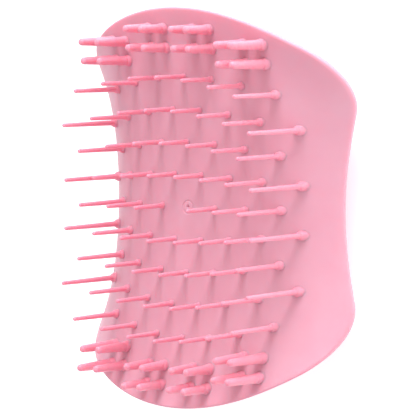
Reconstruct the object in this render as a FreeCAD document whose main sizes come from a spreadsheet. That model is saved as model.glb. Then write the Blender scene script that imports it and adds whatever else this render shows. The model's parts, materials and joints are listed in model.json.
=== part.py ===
"""Scalp massager brush: a waisted, arched plate of flexible teeth on a hollow palm grip.

Frame: the brush lies on its back. +Z points out of the teeth, +Y runs along the brush and +X across
it. The origin is the middle of the flat palm patch on the back. All sizes are in millimetres.
"""
import FreeCAD, Part
import math
import os
from FreeCAD import Placement, Rotation, Vector

# ---------------------------------------------------------------- driving dimensions
SIZES = {
    # plan outline: end arcs, rounded corners and hollow waist arcs, all tangent
    "half_length": 45.3,
    "half_waist": 31.9,
    "end_radius": 52.5,
    "corner_radius": 13.8,
    "waist_radius": 88.0,
    # height of the arched plate's crown over the palm patch, and its shape
    "crown_height": 26.0,
    "end_rise": 5.7,
    "end_rise_square": 0.57,
    "waist_drop": 15.2,
    "waist_drop_square": 0.325,
    "waist_drop_ease": 0.35,
    "plate_thickness": 2.4,
    "rim_round": 0.6,
    # moulding gate mark in the place of the middle tooth
    "gate_radius": 1.5,
    "gate_depth": 0.4,
    "gate_nub_radius": 0.6,
    # fine teeth: margins from the rim to the outermost teeth, and the bow of the rows
    "fine_end_margin": 15.7,
    "fine_side_margin": 5.65,
    "row_bow": 0.027,
    "row_bow_fall": 0.0027,
    "row_bow_ease": 0.0003,
    "tip_height": 10.0,
    "tip_dish": 0.0028,
    "fine_tip_radius": 0.43,
    "fine_draft": 0.0095,
    "fine_stub_radius": 0.74,
    "fine_stub_growth": 0.56,
    "fine_flex_gap": 0.30,
    # thick teeth: clusters of two by two near each end
    "inner_cluster_x": 6.35,
    "inner_cluster_margin": 7.1,
    "outer_cluster_margin_x": 13.0,
    "outer_cluster_margin": 10.3,
    "thick_spacing": 4.3,
    "thick_setback": 1.9,
    "thick_tip_radius": 0.84,
    "thick_draft": 0.024,
    "thick_stub_radius": 1.26,
    "thick_stub_growth": 0.10,
    "thick_flex_gap": 0.60,
    # stubs that carry every tooth on the plate
    "stub_height": 1.3,
    "stub_embed": 1.2,
    "stub_skirt": 0.2,
    "stub_flare": 0.06,
    "stub_ledge": 0.05,
    # back shell
    "shell_inset": 0.8,
    "shell_wall": 2.0,
    "palm_half_length": 13.4,
    "seat_clearance": 0.10,
    # lip and pegs that hold the plate in the shell
    "lip_depth": 2.0,
    "lip_wall": 1.4,
    "peg_x": 11.0,
    "peg_y": 20.0,
    "peg_radius": 2.0,
    "peg_clearance": 0.10,
    "peg_engagement": 6.0,
    "peg_floor_gap": 0.5,
    "boss_wall": 1.6,
    "boss_height": 15.0,
}
ROWS = 4            # rows of fine teeth on each side of the middle row
COLUMNS = 7         # half-pitch steps from the middle column to the outermost one
SQUARE_POLES = (1, 0, -1 / 3, 0, 1)     # Bernstein coefficients of t squared for t from -1 to 1
QUARTIC_POLES = (1, -1, 1, -1, 1)       # and of t to the fourth
RIM_POINTS = 72     # points round the shell's sections
SHELL_STEPS = 7     # sections from the palm patch to the rim
ON_SURFACE = 0.05   # a point nearer to the arched face than this lies on it

doc = FreeCAD.newDocument("scalp_massager_brush")
sheet = doc.addObject("Spreadsheet::Sheet", "Sizes")
for line, (name, value) in enumerate(SIZES.items(), start=1):
    sheet.set(f"A{line}", name)
    sheet.set(f"B{line}", str(value))
    sheet.setAlias(f"B{line}", name)
doc.recompute()


def size(name):
    """A driving dimension, read from the sheet."""
    return float(sheet.get(name))


# ---------------------------------------------------------------- the arched surface
def arch(across_2, across_4, along_2, along_4):
    """Height of the plate's outer face, from the squares and fourth powers of its plan position."""
    rise_square = size("end_rise_square")
    drop_square = size("waist_drop_square")
    rise = rise_square * along_2 + (1 - rise_square) * along_4
    drop = (drop_square * across_2 * (1 - size("waist_drop_ease") * along_2)
            + (1 - drop_square) * across_4 * (1 - along_2))
    return size("crown_height") + size("end_rise") * rise - size("waist_drop") * drop


def crown(x, y):
    """Height of the plate's outer face: falling to both sides, rising towards both ends."""
    across = x / size("half_waist")
    along = y / size("half_length")
    return arch(across ** 2, across ** 4, along ** 2, along ** 4)


def block_under(drop):
    """Everything below the plate's outer face lowered by drop, wider than the brush.

    The face is one Bezier patch of degree four each way, which holds the arch exactly.
    """
    margin = size("corner_radius")
    wide = 1 + margin / size("half_waist")
    long = 1 + margin / size("half_length")
    surface = Part.BezierSurface()
    surface.increase(4, 4)
    for i in range(5):
        for j in range(5):
            height = arch(wide ** 2 * SQUARE_POLES[i], wide ** 4 * QUARTIC_POLES[i],
                          long ** 2 * SQUARE_POLES[j], long ** 4 * QUARTIC_POLES[j])
            surface.setPole(i + 1, j + 1, Vector((i / 2 - 1) * wide * size("half_waist"),
                                                 (j / 2 - 1) * long * size("half_length"), height - drop))
    depth = Vector(0, 0, -4 * size("crown_height"))
    return surface.toShape().extrude(depth)


# ---------------------------------------------------------------- the plan outline
def outline(inset):
    """The closed plan outline of twelve tangent arcs, moved inwards by inset."""
    end = size("end_radius") - inset
    corner = size("corner_radius") - inset
    waist = size("waist_radius") + inset
    end_centre = Vector(0, size("half_length") - size("end_radius"), 0)
    waist_centre = Vector(size("half_waist") + size("waist_radius"), 0, 0)
    # the corner's centre lies inside the end circle and outside the waist circle
    reach_end = end - corner
    reach_waist = waist + corner
    span = (waist_centre - end_centre).Length
    along = (reach_end ** 2 - reach_waist ** 2 + span ** 2) / (2 * span)
    aside = math.sqrt(reach_end ** 2 - along ** 2)
    towards = (waist_centre - end_centre).normalize()
    corner_centre = end_centre + towards * along + Vector(-towards.y, towards.x, 0) * aside
    end_tangent = end_centre + (corner_centre - end_centre).normalize() * end
    waist_tangent = waist_centre + (corner_centre - waist_centre).normalize() * waist
    outwards = (end_tangent - corner_centre) + (waist_tangent - corner_centre)
    corner_middle = corner_centre + outwards.normalize() * corner
    end_middle = Vector(0, end_centre.y + end, 0)
    waist_middle = Vector(waist_centre.x - waist, 0, 0)

    def flip(point, across, along_y):
        return Vector(point.x * across, point.y * along_y, 0)

    arcs = []
    for across, along_y in ((1, 1), (1, -1), (-1, -1), (-1, 1)):
        quarter = [flip(end_tangent, across, along_y), flip(corner_middle, across, along_y),
                   flip(waist_tangent, across, along_y)]
        arcs.append(Part.Arc(*quarter).toShape())
    for across in (1, -1):
        arcs.append(Part.Arc(flip(waist_tangent, across, 1), flip(waist_middle, across, 1),
                             flip(waist_tangent, across, -1)).toShape())
    for along_y in (1, -1):
        arcs.append(Part.Arc(flip(end_tangent, -1, along_y), flip(end_middle, 1, along_y),
                             flip(end_tangent, 1, along_y)).toShape())
    return Part.Wire(Part.__sortEdges__(arcs))


def prism(inset):
    """The plan outline as a tall column that starts under the palm patch."""
    foot = Part.Face(outline(inset))
    foot.translate(Vector(0, 0, -size("crown_height")))
    return foot.extrude(Vector(0, 0, 4 * size("crown_height")))


# ---------------------------------------------------------------- places of the teeth
def column_pitch():
    """Distance between neighbouring teeth of one row."""
    return (size("half_waist") - size("fine_side_margin")) / (COLUMNS / 2)


def row_pitch():
    """Distance between neighbouring rows along the middle line."""
    return (size("half_length") - size("fine_end_margin")) / ROWS


def fine_place(step, row):
    """Plan position of a fine tooth: step counts half pitches across, row counts rows."""
    across = step / 2
    bow = size("row_bow") - size("row_bow_fall") * abs(row) - size("row_bow_ease") * across ** 2
    return across * column_pitch(), row * row_pitch() * (1 - bow * across ** 2)


def fine_columns():
    """Plan positions of the fine teeth, one list for each column, from -X to +X."""
    columns = []
    for step in range(-COLUMNS, COLUMNS + 1):
        rows = [row for row in range(-ROWS, ROWS + 1) if (row + step) % 2 == 0]
        columns.append([fine_place(step, row) for row in rows if (step, row) != (0, 0)])
    return columns


def thick_clusters():
    """Plan positions of the thick teeth, one list for each cluster."""
    inner = (size("inner_cluster_x"), size("half_length") - size("inner_cluster_margin"))
    outer = (size("half_waist") - size("outer_cluster_margin_x"),
             size("half_length") - size("outer_cluster_margin"))
    half = size("thick_spacing") / 2
    clusters = {}
    for end, along_y in (("front", 1), ("rear", -1)):
        for side, across in (("left", -1), ("right", 1)):
            for place, (x, y) in (("inner", inner), ("outer", outer)):
                clusters[f"{end}_{side}_{place}"] = [
                    (across * x + dx, along_y * y + dy) for dx in (-half, half) for dy in (-half, half)]
    return clusters


def tooth_top(x, y, kind):
    """Height of a tooth's tip: the fine tips lie on a shallow dish, the thick ones a setback below it."""
    dish = size("crown_height") + size("tip_height") + size("tip_dish") * (x ** 2 + y ** 2)
    return dish if kind == "fine" else dish - size("thick_setback")


def tooth_foot(x, y, kind):
    """Height at which a tooth starts, its flex gap above its stub."""
    return crown(x, y) + size("stub_height") + size(f"{kind}_flex_gap")


def root_radius(x, y, kind):
    """Radius of a tooth's foot: its tip's radius and the draft over its length."""
    length = tooth_top(x, y, kind) - tooth_foot(x, y, kind)
    return size(f"{kind}_tip_radius") + size(f"{kind}_draft") * length


# ---------------------------------------------------------------- tooth plate
def stub(x, y, kind):
    """The flared stub that a tooth grows from, wider towards the sides: turned, and sunk into the plate."""
    wide = size(f"{kind}_stub_radius") + size(f"{kind}_stub_growth") * (x / size("half_waist")) ** 2
    narrow = root_radius(x, y, kind) + size("stub_ledge")
    low = -size("stub_embed")
    skirt = -size("stub_skirt")
    high = size("stub_height")
    waist = Vector((wide + narrow) / 2 - size("stub_flare"), 0, (skirt + high) / 2)
    flare = Part.Arc(Vector(wide, 0, skirt), waist, Vector(narrow, 0, high))
    sides = [Part.LineSegment(Vector(0, 0, low), Vector(wide, 0, low)),
             Part.LineSegment(Vector(wide, 0, low), Vector(wide, 0, skirt)),
             flare,
             Part.LineSegment(Vector(narrow, 0, high), Vector(0, 0, high)),
             Part.LineSegment(Vector(0, 0, high), Vector(0, 0, low))]
    profile = Part.Face(Part.Wire([side.toShape() for side in sides]))
    turned = profile.revolve(Vector(0, 0, 0), Vector(0, 0, 1), 360)
    turned.translate(Vector(x, y, crown(x, y)))
    return turned


def pegs(radius, low):
    """Four upright pegs from a level up through the plate."""
    return [Part.makeCylinder(radius, 2 * size("crown_height"), Vector(x, y, low))
            for x in (-size("peg_x"), size("peg_x")) for y in (-size("peg_y"), size("peg_y"))]


def make_tooth_plate():
    """The arched plate with its lip, pegs, stubs and gate mark."""
    thickness = size("plate_thickness")
    plate = prism(0).common(block_under(0))
    rim_edges = [edge for edge in plate.Edges
                 if all(abs(v.Z - crown(v.X, v.Y)) < ON_SURFACE for v in edge.Vertexes)]
    plate = plate.makeFillet(size("rim_round"), rim_edges)
    plate = plate.cut(block_under(thickness))
    lip_inset = size("shell_inset") + size("shell_wall") + size("seat_clearance")
    lip = prism(lip_inset).cut(prism(lip_inset + size("lip_wall")))
    lip = lip.common(block_under(thickness / 2)).cut(block_under(thickness + size("lip_depth")))
    lip = lip.common(dome(lip_inset, size("shell_wall")))
    peg_low = size("boss_height") - size("peg_engagement")
    peg_list = [peg.common(block_under(thickness / 2)) for peg in pegs(size("peg_radius"), peg_low)]
    stubs = [stub(x, y, "fine") for column in fine_columns() for x, y in column]
    stubs += [stub(x, y, "thick") for cluster in thick_clusters().values() for x, y in cluster]
    plate = plate.fuse([lip] + peg_list + stubs)
    gate_floor = Vector(0, 0, size("crown_height") - size("gate_depth"))
    dimple = Part.makeCylinder(size("gate_radius"), thickness, gate_floor)
    nub = Part.makeCylinder(size("gate_nub_radius"), size("gate_depth"), gate_floor)
    return plate.cut(dimple.cut(nub))


# ---------------------------------------------------------------- back shell
def dome(inset, floor):
    """The rounded grip: quarter-ellipse sides from a flat patch up to the plate's rim."""
    rim = outline(inset).discretize(Number=RIM_POINTS + 1)[:-1]
    under = size("plate_thickness") + size("seat_clearance")
    share = size("palm_half_length") / (size("half_length") - inset)
    sections = []
    for step in range(SHELL_STEPS + 1):
        angle = math.pi / 2 * step / SHELL_STEPS
        plan = share + (1 - share) * math.sin(angle)
        lift = 1 - math.cos(angle)
        sections.append([Vector(p.x * plan, p.y * plan, floor + lift * (crown(p.x, p.y) - under - floor))
                         for p in rim])
    ceiling = size("crown_height") + 4 * size("end_rise")
    sections.append([Vector(p.x, p.y, ceiling) for p in rim])
    wires = []
    for points in sections:
        curve = Part.BSplineCurve()
        curve.interpolate(Points=points, PeriodicFlag=True)
        wires.append(Part.Wire(curve.toShape()))
    below = Part.makeBox(4 * size("half_waist"), 4 * size("half_length"), size("crown_height"),
                         Vector(-2 * size("half_waist"), -2 * size("half_length"),
                                floor - size("crown_height")))
    return Part.makeLoft(wires, True, False).cut(below)


def make_back_shell():
    """The hollow palm grip with four bosses for the plate's pegs."""
    wall = size("shell_wall")
    under = block_under(size("plate_thickness") + size("seat_clearance"))
    outside = dome(size("shell_inset"), 0).common(under)
    shell = outside.cut(dome(size("shell_inset") + wall, wall))
    bore = size("peg_radius") + size("peg_clearance")
    top = Part.makeBox(4 * size("half_waist"), 4 * size("half_length"), 4 * size("crown_height"),
                       Vector(-2 * size("half_waist"), -2 * size("half_length"), size("boss_height")))
    bosses = [boss.common(outside).cut(top) for boss in pegs(bore + size("boss_wall"), wall / 2)]
    bore_floor = size("boss_height") - size("peg_engagement") - size("peg_floor_gap")
    return shell.fuse(bosses).cut(pegs(bore, bore_floor))


# ---------------------------------------------------------------- document objects
def add_feature(label, shape):
    """A sub-part whose shape is made by the functions above."""
    feature = doc.addObject("Part::Feature", label)
    feature.Label = label
    feature.Shape = shape
    feature.Placement = Placement(Vector(0, 0, 0), Rotation())
    return feature


def add_tooth(label, x, y, kind):
    """One tapered tooth with a round tip, standing its flex gap above its stub."""
    foot = tooth_foot(x, y, kind)
    end_middle = tooth_top(x, y, kind) - size(f"{kind}_tip_radius")
    shaft = doc.addObject("Part::Cone", f"{label}_shaft")
    shaft.Radius1 = root_radius(x, y, kind)
    shaft.setExpression("Radius2", f"Sizes.{kind}_tip_radius")
    shaft.Height = end_middle - foot
    shaft.Placement.Base = Vector(x, y, foot)
    end = doc.addObject("Part::Sphere", f"{label}_tip")
    end.setExpression("Radius", f"Sizes.{kind}_tip_radius")
    end.Placement.Base = Vector(x, y, end_middle)
    tooth = doc.addObject("Part::Fuse", label)
    tooth.Base = shaft
    tooth.Tool = end
    return tooth


def add_group(label, teeth):
    """A group of separate teeth that lean together."""
    group = doc.addObject("Part::Compound", label)
    group.Label = label
    group.Links = teeth
    return group


sub_parts = [add_feature("tooth_plate", make_tooth_plate()), add_feature("back_shell", make_back_shell())]
for number, column in enumerate(fine_columns(), start=1):
    label = f"fine_teeth_column_{number:02d}"
    teeth = [add_tooth(f"{label}_{i}", x, y, "fine") for i, (x, y) in enumerate(column, 1)]
    sub_parts.append(add_group(label, teeth))
for name, cluster in thick_clusters().items():
    label = f"thick_teeth_{name}"
    teeth = [add_tooth(f"{label}_{i}", x, y, "thick") for i, (x, y) in enumerate(cluster, 1)]
    sub_parts.append(add_group(label, teeth))

# ---------------------------------------------------------------- check and write
doc.recompute()
for item in doc.Objects:
    if any(word in item.State for word in ("Invalid", "Error")):
        raise RuntimeError(f"{item.Label} failed to build")
for part in sub_parts:
    if part.Shape.isNull() or not part.Shape.isValid():
        raise RuntimeError(f"{part.Label} has no valid shape")

os.makedirs("parts", exist_ok=True)
for part in sub_parts:
    part.Shape.exportStep(f"parts/{part.Label}.step")
    print(part.Label, len(part.Shape.Solids), "solids", round(part.Shape.Volume, 1), "mm3")
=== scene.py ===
"""Looks of the scalp massager brush: one pink moulded plastic, lit softly from above the brush's front end.

Lengths are in millimetres, unless a comment says metres. The brush lies on its back, teeth up (+Z),
with its long axis along Y. Teeth take their places from the frame; the arched plate and the rounded
back follow the same formulas as the construction.
"""

import json
import math

import bpy
import numpy as np
from mathutils import Matrix, Vector


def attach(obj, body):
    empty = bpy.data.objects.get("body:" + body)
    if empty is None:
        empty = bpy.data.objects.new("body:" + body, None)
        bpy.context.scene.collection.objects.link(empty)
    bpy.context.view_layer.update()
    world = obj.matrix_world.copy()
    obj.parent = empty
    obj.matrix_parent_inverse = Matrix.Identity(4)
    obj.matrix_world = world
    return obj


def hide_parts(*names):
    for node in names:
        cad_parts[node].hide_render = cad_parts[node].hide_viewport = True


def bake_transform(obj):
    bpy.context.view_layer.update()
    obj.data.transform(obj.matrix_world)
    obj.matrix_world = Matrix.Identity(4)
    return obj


MM = 0.001

# plan outline: end arcs, rounded corners and hollow waist arcs
HALF_LENGTH = 45.3
HALF_WAIST = 31.9
END_RADIUS = 52.5
CORNER_RADIUS = 13.8
WAIST_RADIUS = 88.0
OUTLINE_SIDES = 240
END_ARC_SHARE = 0.42        # share of a quarter's points on the end arc
CORNER_ARC_SHARE = 0.28

# arched plate
CROWN_HEIGHT = 26.0
END_RISE = 5.7
END_RISE_SQUARE = 0.57      # share of the rise that grows with the square, the rest with the fourth power
WAIST_DROP = 15.2
WAIST_DROP_SQUARE = 0.325   # the same share for the drop to the sides
WAIST_DROP_EASE = 0.35      # how much the square part weakens towards the ends
PLATE_THICKNESS = 2.4
RIM_ROUND = 0.6
RIM_EDGE = 0.25             # upright stretch of the edge under the rounding
RIM_UNDERCUT = 1.3          # how far the edge slopes inwards below that
RIM_ANGLES = (18, 36, 54, 72, 90)           # degrees round the rim's rounding
UNDERCUT_SHARES = (0.1, 0.4, 0.8, 1.0)
GATE_STEPS = np.linspace(0.003, 0.06, 26)   # ring sizes round the gate mark, as shares of the outline
FACE_STEPS = np.linspace(0.075, 1.0, 60)
UNDERSIDE_STEPS = np.linspace(0.95, 0.02, 24)
GATE_RADIUS = 1.45
GATE_GROOVE = 0.18
GATE_GROOVE_WIDTH = 0.14
GATE_PIP_RADIUS = 0.32
GATE_PIP_DEPTH = 0.5
GATE_PIP_OFFSET = (-0.05, 0.15)

# back shell
SHELL_INSET = 0.8
SHELL_WALL = 2.0
PALM_HALF_LENGTH = 13.4
SEAT_CLEARANCE = 0.10
OUTSIDE_RINGS = 48
INSIDE_RINGS = 32
PATCH_SHARES = (0.15, 0.4, 0.7, 0.9)
INNER_PATCH_SHARES = (0.7, 0.3)

# teeth
TOOTH = {
    "fine": {"tip": 0.46, "draft": 0.0085, "bead": 0.72, "bead_growth": 0.58},
    "thick": {"tip": 0.84, "draft": 0.024, "bead": 1.26, "bead_growth": 0.10},
}
SKIRT_DEPTH = 0.90
# skirt under the bead: radius in bead radii, height over the root
SKIRT_PROFILE = ((1.12, -SKIRT_DEPTH), (1.20, -0.06), (1.08, 0.02), (1.01, 0.10))
# bead: shares of bead radius and shaft radius, height in bead radii, share of levelling
BEAD_PROFILE = (
    (1.00, 0.00, 0.30, 0.10),
    (0.99, 0.00, 0.52, 0.30),
    (0.95, 0.00, 0.76, 0.60),
    (0.85, 0.00, 1.00, 0.85),
    (0.70, 0.02, 1.18, 1.00),
)
# neck, never narrower than the shaft: shares of bead radius and shaft radius, height in bead radii
NECK_PROFILE = ((0.25, 0.66, 1.30), (0.06, 0.94, 1.46))
SHAFT_START = 1.75          # height of the shaft's foot in bead radii
CLEAR_SPACE = 1.2           # wider than any gap between points of one tooth, narrower than between teeth
TOOTH_SIDES = 20
SHAFT_RINGS = 9
TIP_RINGS = 5
TIP_BLUNTNESS = 0.8

# looks
PINK = (0.78, 0.40, 0.50)
PINK_SHADE = (0.77, 0.365, 0.465)
# The teeth's two pinks carry painted shade: they are the plate's plastic, painted deeper and more saturated for
# the thin teeth.
TOOTH_PINK_PAINTED_SHADE = (0.87, 0.35, 0.455)
TOOTH_MOTTLE_PAINTED_SHADE = (0.86, 0.33, 0.435)
MOTTLE_SCALE = 90.0
GRAIN_SCALE = 2600.0
GRAIN_DEPTH = 0.00004       # metres
REDDENING = (1.0, 0.26, 0.32)   # how far red, green and blue travel inside, as shares of the depth
PLASTIC_IOR = 1.49

# studio, in metres
FLOOR_GAP = 0.00005         # keeps the floor and the palm patch apart
FLOOR_REACH = 3.0
FLOOR_GLOW = 0.42
SURROUNDING = 0.74
KEY_PLACE = (0.10, 0.66, 0.36)
KEY_SIZE = (0.36, 0.32)
KEY_POWER = 5.2
FILL_PLACE = (0.55, -0.25, 0.60)
FILL_SIZE = (0.60, 0.60)
FILL_POWER = 0.4

# camera: turns in degrees, its place seen from the crown in its own axes and in millimetres
CAMERA_ROLL = -0.385
CAMERA_PITCH = 4.186
CAMERA_SIDE = -37.22
CAMERA_OFFSET = (5.0, -0.65, 748.0)
LENS = 283.0
SENSOR_WIDTH = 36.0
NEAREST = 0.01              # metres
FARTHEST = 20.0


# ---------------------------------------------------------------- shape of the plate
def crown(x, y):
    """Height of the plate's outer face: falling to both sides, rising towards both ends."""
    across = (x / HALF_WAIST) ** 2
    along = (y / HALF_LENGTH) ** 2
    rise = END_RISE_SQUARE * along + (1 - END_RISE_SQUARE) * along ** 2
    shallow = WAIST_DROP_SQUARE * across * (1 - WAIST_DROP_EASE * along)
    steep = (1 - WAIST_DROP_SQUARE) * across ** 2 * (1 - along)
    return CROWN_HEIGHT + END_RISE * rise - WAIST_DROP * (shallow + steep)


def arc_points(centre, radius, start, stop, count):
    """Points on an arc, its last point left out for the next arc to give."""
    angles = np.linspace(start, stop, count, endpoint=False)
    return np.array(centre) + radius * np.column_stack([np.cos(angles), np.sin(angles)])


def outline(inset):
    """OUTLINE_SIDES plan points round the brush from the front end's middle, moved inwards by inset."""
    end_centre = np.array([0, HALF_LENGTH - END_RADIUS])
    waist_centre = np.array([HALF_WAIST + WAIST_RADIUS, 0])
    reach_end = END_RADIUS - CORNER_RADIUS
    reach_waist = WAIST_RADIUS + CORNER_RADIUS
    span = np.linalg.norm(waist_centre - end_centre)
    along = (reach_end ** 2 - reach_waist ** 2 + span ** 2) / (2 * span)
    aside = math.sqrt(reach_end ** 2 - along ** 2)
    towards = (waist_centre - end_centre) / span
    corner_centre = end_centre + towards * along + np.array([-towards[1], towards[0]]) * aside
    end_angle = math.atan2(*(corner_centre - end_centre)[::-1])
    waist_angle = math.atan2(*(corner_centre - waist_centre)[::-1])
    side = OUTLINE_SIDES // 4
    end_count = int(side * END_ARC_SHARE)
    corner_count = int(side * CORNER_ARC_SHARE)
    waist_count = side - end_count - corner_count
    quarter = np.concatenate([
        arc_points(end_centre, END_RADIUS - inset, math.pi / 2, end_angle, end_count),
        arc_points(corner_centre, CORNER_RADIUS - inset, end_angle, waist_angle - math.pi, corner_count),
        arc_points(waist_centre, WAIST_RADIUS + inset, waist_angle, math.pi, waist_count),
    ])
    lower = np.concatenate([[[HALF_WAIST - inset, 0]], quarter[:0:-1] * [1, -1]])
    right = np.concatenate([quarter, lower])
    left = np.concatenate([[[0, -(HALF_LENGTH - inset)]], right[:0:-1] * [-1, 1]])
    return np.concatenate([right, left])


# ---------------------------------------------------------------- mesh helpers
def ring_faces(rings, sides, first):
    """Quads between neighbouring rings of a tube, the first ring's points numbered from first."""
    faces = []
    for r in range(rings - 1):
        for i in range(sides):
            a = first + r * sides + i
            b = first + r * sides + (i + 1) % sides
            faces.append((a, b, b + sides, a + sides))
    return faces


def new_object(name, points, faces, material):
    """A smooth-shaded mesh object from points in millimetres."""
    mesh = bpy.data.meshes.new(name)
    mesh.from_pydata([tuple(p) for p in np.asarray(points) * MM], [], faces)
    mesh.validate()
    mesh.polygons.foreach_set("use_smooth", [True] * len(mesh.polygons))
    mesh.materials.append(material)
    mesh.update()
    piece = bpy.data.objects.new(name, mesh)
    bpy.context.scene.collection.objects.link(piece)
    return piece


def tube_faces(rings, sides, first=0):
    """Faces of a closed tube: a fan on the point numbered first, quads between rings, a fan on the last."""
    head = first + 1
    last = head + rings * sides
    tail = last - sides
    faces = [(first, head + (i + 1) % sides, head + i) for i in range(sides)]
    faces += ring_faces(rings, sides, head)
    faces += [(last, tail + i, tail + (i + 1) % sides) for i in range(sides)]
    return faces


def closed_tube(name, rings, first_centre, last_centre, material):
    """A closed skin through rings of equal length, with a middle point at either end."""
    points = np.concatenate([[first_centre], *rings, [last_centre]])
    return new_object(name, points, tube_faces(len(rings), len(rings[0])), material)


# ---------------------------------------------------------------- plastic
def plastic(name, colour, shade, roughness, shine, glow, depth):
    """Satin moulded plastic: faint mottling, a fine moulded grain and light that sinks in a little.

    glow is the share of light that sinks in, and depth how far it goes, in metres.
    """
    material = bpy.data.materials.new(name)
    material.use_nodes = True
    nodes = material.node_tree.nodes
    links = material.node_tree.links
    shader = nodes["Principled BSDF"]
    place = nodes.new("ShaderNodeTexCoord")

    mottle = nodes.new("ShaderNodeTexNoise")
    mottle.inputs["Scale"].default_value = MOTTLE_SCALE
    mottle.inputs["Detail"].default_value = 3.0
    links.new(place.outputs["Object"], mottle.inputs["Vector"])
    tint = nodes.new("ShaderNodeValToRGB")
    tint.color_ramp.elements[0].position = 0.3
    tint.color_ramp.elements[0].color = (*shade, 1)
    tint.color_ramp.elements[1].position = 0.7
    tint.color_ramp.elements[1].color = (*colour, 1)
    links.new(mottle.outputs["Fac"], tint.inputs["Fac"])
    links.new(tint.outputs["Color"], shader.inputs["Base Color"])

    grain = nodes.new("ShaderNodeTexNoise")
    grain.inputs["Scale"].default_value = GRAIN_SCALE
    grain.inputs["Detail"].default_value = 4.0
    links.new(place.outputs["Object"], grain.inputs["Vector"])
    gloss = nodes.new("ShaderNodeMapRange")
    gloss.inputs["To Min"].default_value = roughness - 0.05
    gloss.inputs["To Max"].default_value = roughness + 0.06
    links.new(mottle.outputs["Fac"], gloss.inputs["Value"])
    links.new(gloss.outputs["Result"], shader.inputs["Roughness"])
    bump = nodes.new("ShaderNodeBump")
    bump.inputs["Strength"].default_value = 0.10
    bump.inputs["Distance"].default_value = GRAIN_DEPTH
    links.new(grain.outputs["Fac"], bump.inputs["Height"])
    links.new(bump.outputs["Normal"], shader.inputs["Normal"])

    shader.inputs["Subsurface Weight"].default_value = glow
    shader.inputs["Subsurface Radius"].default_value = REDDENING
    shader.inputs["Subsurface Scale"].default_value = depth
    shader.inputs["IOR"].default_value = PLASTIC_IOR
    shader.inputs["Specular IOR Level"].default_value = shine
    return material


# ---------------------------------------------------------------- plate and shell
def gate_mark(x, y):
    """Depth of the moulding gate mark in the middle: a fine ring groove and a small pip hole."""
    away = np.hypot(x, y)
    groove = GATE_GROOVE * np.exp(-((away - GATE_RADIUS) / GATE_GROOVE_WIDTH) ** 2)
    pip = np.hypot(x - GATE_PIP_OFFSET[0], y - GATE_PIP_OFFSET[1])
    hole = GATE_PIP_DEPTH * np.exp(-(pip / GATE_PIP_RADIUS) ** 4)
    return groove + hole


def surface_ring(plan, drop):
    """A ring on the plate's outer face lowered by drop."""
    return np.column_stack([plan, crown(plan[:, 0], plan[:, 1]) - drop])


def make_plate(material):
    """The arched plate: face with gate mark, rounded rim, undercut edge and underside."""
    inner = outline(RIM_ROUND)
    rings = []
    for step in np.concatenate([GATE_STEPS, FACE_STEPS]):
        plan = inner * step
        ring = surface_ring(plan, 0)
        ring[:, 2] -= gate_mark(plan[:, 0], plan[:, 1])
        rings.append(ring)
    for angle in np.radians(RIM_ANGLES):
        plan = outline(RIM_ROUND * (1 - math.sin(angle)))
        rings.append(surface_ring(plan, RIM_ROUND * (1 - math.cos(angle))))
    low = RIM_ROUND + RIM_EDGE
    rings.append(surface_ring(outline(0), low))
    for share in UNDERCUT_SHARES:
        drop = low + (PLATE_THICKNESS - low) * share
        rings.append(surface_ring(outline(RIM_UNDERCUT * share), drop))
    under = outline(RIM_UNDERCUT)
    for step in UNDERSIDE_STEPS:
        rings.append(surface_ring(under * step, PLATE_THICKNESS))
    top = (0, 0, CROWN_HEIGHT - float(gate_mark(0.0, 0.0)))
    bottom = (0, 0, CROWN_HEIGHT - PLATE_THICKNESS)
    return closed_tube("tooth_plate_skin", rings, top, bottom, material)


def dome_rings(inset, floor, steps):
    """Rings of the rounded back from its flat palm patch up to the plate's underside."""
    rim = outline(inset)
    height = crown(rim[:, 0], rim[:, 1]) - PLATE_THICKNESS - SEAT_CLEARANCE - floor
    rings = []
    palm = PALM_HALF_LENGTH / (HALF_LENGTH - inset)
    for angle in np.linspace(0, math.pi / 2, steps):
        share = palm + (1 - palm) * math.sin(angle)
        rings.append(np.column_stack([rim * share, floor + height * (1 - math.cos(angle))]))
    return rings


def make_shell(material):
    """The hollow back: palm patch, rounded sides, a narrow upper edge and the inside wall."""
    outside = dome_rings(SHELL_INSET, 0, OUTSIDE_RINGS)
    inside = dome_rings(SHELL_INSET + SHELL_WALL, SHELL_WALL, INSIDE_RINGS)
    patch = [outside[0] * [share, share, 1] for share in PATCH_SHARES]
    inner_patch = [inside[0] * [share, share, 1] for share in INNER_PATCH_SHARES]
    rings = patch + outside + inside[::-1] + inner_patch
    rings = [ring[::-1] for ring in rings]
    return closed_tube("back_shell_skin", rings, (0, 0, 0), (0, 0, SHELL_WALL), material)


# ---------------------------------------------------------------- teeth
def split_at_gaps(points, axis):
    """Groups of points with clear space between them along an axis."""
    ordered = points[np.argsort(points[:, axis])]
    cuts = np.nonzero(np.diff(ordered[:, axis]) > CLEAR_SPACE)[0] + 1
    return np.split(ordered, cuts)


def teeth_of(node):
    """(x, y, tip height) in millimetres of each separate tooth of a CAD node."""
    points = np.empty(len(node.data.vertices) * 3)
    node.data.vertices.foreach_get("co", points)
    points = points.reshape(-1, 3) / MM
    found = []
    for row in split_at_gaps(points, 1):
        for tooth in split_at_gaps(row, 0):
            low, high = tooth.min(axis=0), tooth.max(axis=0)
            found.append(((low[0] + high[0]) / 2, (low[1] + high[1]) / 2, high[2]))
    return found


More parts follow.
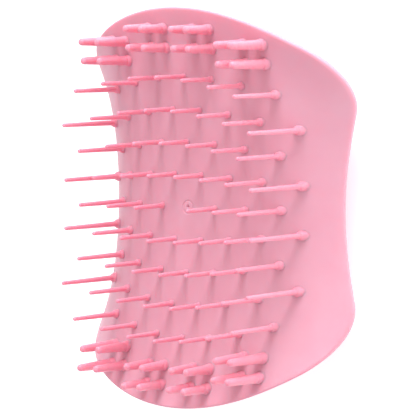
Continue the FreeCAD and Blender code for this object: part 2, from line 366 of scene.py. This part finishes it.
def tooth_rings(x, y, tip, kind):
    """Rings of one tooth, and its end points.

    A skirt follows the plate. A rounded root bead, a tapered shaft and a blunt round tip follow it.
    """
    size = TOOTH[kind]
    root = crown(x, y)
    bead = size["bead"] + size["bead_growth"] * (x / HALF_WAIST) ** 2
    narrow = size["tip"]
    wide = narrow + size["draft"] * (tip - root)
    start = bead * SHAFT_START
    stop = tip - root - narrow
    # radius, height over the root, and how far the ring has left the plate's slope for the level
    profile = [(bead * share, height, 0.0) for share, height in SKIRT_PROFILE]
    for bead_share, shaft_share, height, level in BEAD_PROFILE:
        profile.append((bead * bead_share + wide * shaft_share, bead * height, level))
    for bead_share, shaft_share, height in NECK_PROFILE:
        profile.append((max(bead * bead_share + wide * shaft_share, wide), bead * height, 1.0))
    profile.append((wide, start, 1.0))
    for share in np.linspace(0, 1, SHAFT_RINGS + 1)[1:]:
        profile.append((wide + (narrow - wide) * share, start + (stop - start) * share, 1.0))
    for angle in np.radians(np.linspace(0, 90, TIP_RINGS + 1)[1:-1]):
        radius = narrow * math.cos(angle) ** TIP_BLUNTNESS
        profile.append((radius, stop + narrow * math.sin(angle), 1.0))
    turn = np.linspace(0, 2 * math.pi, TOOTH_SIDES, endpoint=False)
    rings = []
    for radius, height, level in profile:
        px = x + radius * np.cos(turn)
        py = y + radius * np.sin(turn)
        base = (1 - level) * crown(px, py) + level * root
        rings.append(np.column_stack([px, py, base + height]))
    return rings, (x, y, root - SKIRT_DEPTH), (x, y, tip)


def make_teeth(node_name, kind, material):
    """All teeth of one CAD node as one piece."""
    points = []
    faces = []
    for x, y, tip in teeth_of(frame["nodes"][node_name]):
        rings, foot, top = tooth_rings(x, y, tip, kind)
        faces += tube_faces(len(rings), TOOTH_SIDES, first=len(points))
        points += [foot, *np.concatenate(rings), top]
    return new_object(node_name + "_skin", points, faces, material)


# ---------------------------------------------------------------- studio
def make_floor():
    """A plain pale floor that the brush lies on."""
    material = bpy.data.materials.new("pale_floor")
    material.use_nodes = True
    shader = material.node_tree.nodes["Principled BSDF"]
    shader.inputs["Base Color"].default_value = (0.95, 0.95, 0.95, 1)
    shader.inputs["Roughness"].default_value = 0.9
    shader.inputs["Emission Color"].default_value = (1, 1, 1, 1)
    shader.inputs["Emission Strength"].default_value = FLOOR_GLOW
    corners = [(side * FLOOR_REACH, end * FLOOR_REACH, -FLOOR_GAP)
               for side, end in ((-1, -1), (1, -1), (1, 1), (-1, 1))]
    mesh = bpy.data.meshes.new("floor")
    mesh.from_pydata(corners, [], [(0, 1, 2, 3)])
    mesh.materials.append(material)
    floor = bpy.data.objects.new("floor", mesh)
    bpy.context.scene.collection.objects.link(floor)


def area_light(name, place, target, size, power):
    """A soft rectangular light aimed at a point."""
    lamp = bpy.data.lights.new(name, "AREA")
    lamp.shape = "RECTANGLE"
    lamp.size, lamp.size_y = size
    lamp.energy = power
    light = bpy.data.objects.new(name, lamp)
    light.location = place
    light.rotation_euler = (Vector(target) - Vector(place)).to_track_quat("-Z", "Y").to_euler()
    bpy.context.scene.collection.objects.link(light)


def make_light():
    """A key light beyond the front end, a weak fill and an even white surrounding."""
    world = bpy.data.worlds.new("studio")
    world.use_nodes = True
    background = world.node_tree.nodes["Background"]
    background.inputs["Color"].default_value = (1, 1, 1, 1)
    background.inputs["Strength"].default_value = SURROUNDING
    bpy.context.scene.world = world
    middle = (0, 0, CROWN_HEIGHT * MM)
    area_light("key", KEY_PLACE, middle, KEY_SIZE, KEY_POWER)
    area_light("fill", FILL_PLACE, middle, FILL_SIZE, FILL_POWER)


def make_camera():
    """Looks at the teeth from the +X side and from above, with +Y upwards in the picture."""
    roll = Matrix.Rotation(math.radians(CAMERA_ROLL), 3, "Z")
    pitch = Matrix.Rotation(math.radians(CAMERA_PITCH), 3, "X")
    side = Matrix.Rotation(math.radians(CAMERA_SIDE), 3, "Y")
    facing = (roll @ pitch @ side).transposed()
    place = facing @ Vector(CAMERA_OFFSET) + Vector((0, 0, CROWN_HEIGHT))
    data = bpy.data.cameras.new("camera")
    data.sensor_width = SENSOR_WIDTH
    data.lens = LENS
    data.clip_start = NEAREST
    data.clip_end = FARTHEST
    camera = bpy.data.objects.new("camera", data)
    camera.matrix_world = Matrix.Translation(place * MM) @ facing.to_4x4()
    bpy.context.scene.collection.objects.link(camera)
    bpy.context.scene.camera = camera


# ---------------------------------------------------------------- build
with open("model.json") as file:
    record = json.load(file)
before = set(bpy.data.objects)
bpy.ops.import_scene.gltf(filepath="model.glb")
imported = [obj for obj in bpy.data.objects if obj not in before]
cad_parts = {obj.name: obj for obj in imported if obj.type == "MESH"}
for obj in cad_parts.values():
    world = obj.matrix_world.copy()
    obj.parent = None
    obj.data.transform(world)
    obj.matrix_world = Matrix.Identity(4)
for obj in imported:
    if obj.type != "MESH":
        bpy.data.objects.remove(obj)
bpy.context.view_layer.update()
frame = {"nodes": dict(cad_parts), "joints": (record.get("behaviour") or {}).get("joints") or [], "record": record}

plate_plastic = plastic("plate_plastic", PINK, PINK_SHADE,
                        roughness=0.44, shine=0.16, glow=0.50, depth=0.0018)
shell_plastic = plastic("shell_plastic", PINK, PINK_SHADE,
                        roughness=0.36, shine=0.35, glow=0.50, depth=0.0018)
# the teeth's colours are painted shade: a deeper, more saturated pink than the plate's plastic
tooth_plastic = plastic("tooth_plastic", TOOTH_PINK_PAINTED_SHADE, TOOTH_MOTTLE_PAINTED_SHADE,
                        roughness=0.42, shine=0.28, glow=0.75, depth=0.0020)

plate = make_plate(plate_plastic)
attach(plate, "brush_body")
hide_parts("tooth_plate")
shell = make_shell(shell_plastic)
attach(shell, "brush_body")
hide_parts("back_shell")

for joint in frame["joints"]:
    body = joint["child"]
    for node in frame["record"]["behaviour"]["bodies"][body]:
        kind = node.split("_")[0]
        piece = make_teeth(node, kind, tooth_plastic)
        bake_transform(piece)
        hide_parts(node)

make_floor()
make_light()
make_camera()
bpy.context.scene.view_settings.view_transform = "Standard"
